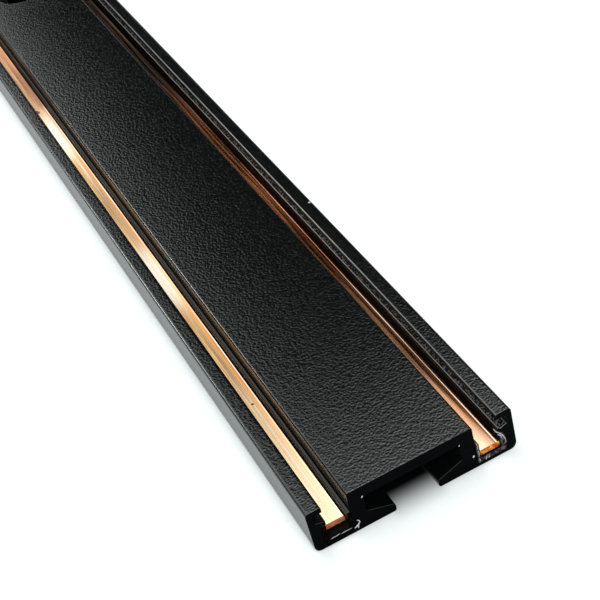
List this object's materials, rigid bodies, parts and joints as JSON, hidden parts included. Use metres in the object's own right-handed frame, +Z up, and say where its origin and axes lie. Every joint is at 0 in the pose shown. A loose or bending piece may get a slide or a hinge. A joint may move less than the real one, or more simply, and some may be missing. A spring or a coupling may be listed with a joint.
{
  "type": "magnetic lighting track",
  "caption": "Slim black surface-mounted magnetic lighting track: plateau between recessed copper conductors in plastic insulators, countersunk screw holes and a slot along its back.",
  "frame": {"origin": "middle of the underside, on the floor that the track lies on", "axes": "+Y along the track away from the pictured cut end, +Z up out of the lamp side, +X across"},
  "size_m": [0.026, 0.5, 0.0062],
  "materials": {
    "black_coat": "black fine-grained powder coat on extruded aluminium",
    "insulator_plastic": "black extruded plastic, rough and greyish where sawn",
    "copper": "bare drawn copper with lengthwise streaks"
  },
  "bodies": {
    "root": {"track_profile": "black_coat", "insulator_left": "insulator_plastic", "insulator_right": "insulator_plastic", "copper_strip_left": "copper", "copper_strip_right": "copper"}
  },
  "joints": []
}
